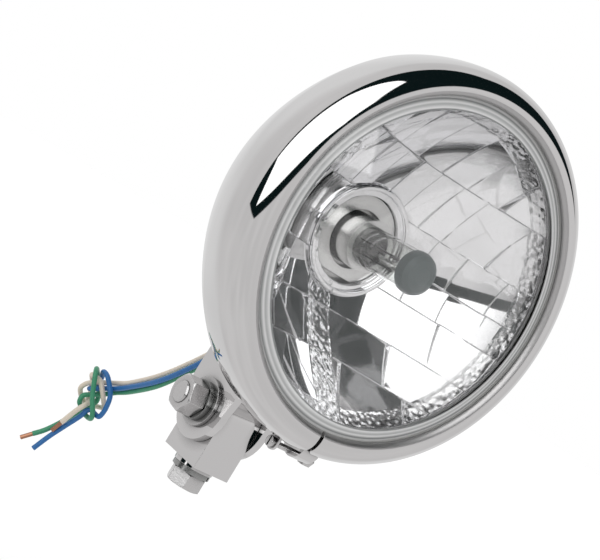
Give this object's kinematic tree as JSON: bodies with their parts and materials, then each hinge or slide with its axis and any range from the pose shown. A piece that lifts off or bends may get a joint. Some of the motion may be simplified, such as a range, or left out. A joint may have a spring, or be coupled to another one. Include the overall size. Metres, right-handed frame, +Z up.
{
  "type": "motorcycle headlight",
  "caption": "Round chrome motorcycle headlight with a faceted reflector, a split front ring, a tilting clevis mount and loose knotted wires.",
  "frame": {"origin": "centre of the underside of the mount block, on the axis of the upright mount bolt", "axes": "+Z up along the mount bolt, -Y the way the lamp shines, X along the tilt bolt"},
  "size_m": [0.1656, 0.168, 0.2417],
  "materials": {
    "shell": "polished chrome plate",
    "trim_ring": "polished chrome plate",
    "foot": "chrome plate",
    "block": "chrome plate",
    "bolts": "chrome plate",
    "washers": "zinc plate",
    "lens": "clear",
    "bulb_glass": "clear",
    "mirror": "vapour-coated",
    "bulb_metal": "plain",
    "bulb_cap": "dark heat-proof coat",
    "tungsten": "drawn",
    "ceramic": "moulded",
    "spring": "spring wire",
    "rubber": "matt",
    "plug": "moulded",
    "lead": "extruded",
    "wire_white": "extruded",
    "wire_blue": "extruded",
    "wire_green": "extruded",
    "copper": "bare stranded copper"
  },
  "bodies": {
    "mount": {"mount_block": "block", "mount_bolt": "bolts", "mount_lock_washer": "washers", "pivot_bolt": "bolts", "pivot_nut": "bolts", "pivot_lock_washer": "washers", "pivot_washers": "bolts"},
    "head": {"shell": "shell", "shell_foot": "foot", "trim_ring": "trim_ring", "ring_screw": "bolts", "ring_nut": "bolts", "lens": "lens", "lens_seal": "rubber", "retaining_ring": "washers", "reflector": "mirror", "bulb_base": "bulb_metal", "bulb_glass": "bulb_glass", "bulb_cap": "bulb_cap", "bulb_shield": "bulb_metal", "low_filament": "tungsten", "high_filament": "tungsten", "filament_posts": "tungsten", "bulb_insulator": "ceramic", "bulb_terminals": "spring", "bulb_clip": "spring", "bulb_boot": "rubber", "plug_socket": "plug", "wire_grommet": "rubber", "inner_leads": "lead", "white_wire": "wire_white", "blue_wire": "wire_blue", "green_wire": "wire_green", "stripped_ends": "copper"}
  },
  "joints": [
    {"name": "tilt", "type": "hinge", "parent": "mount", "child": "head", "pos_m": [0, 0, 0.026], "axis": [1, 0, 0], "range_deg": [-20, 20]}
  ]
}
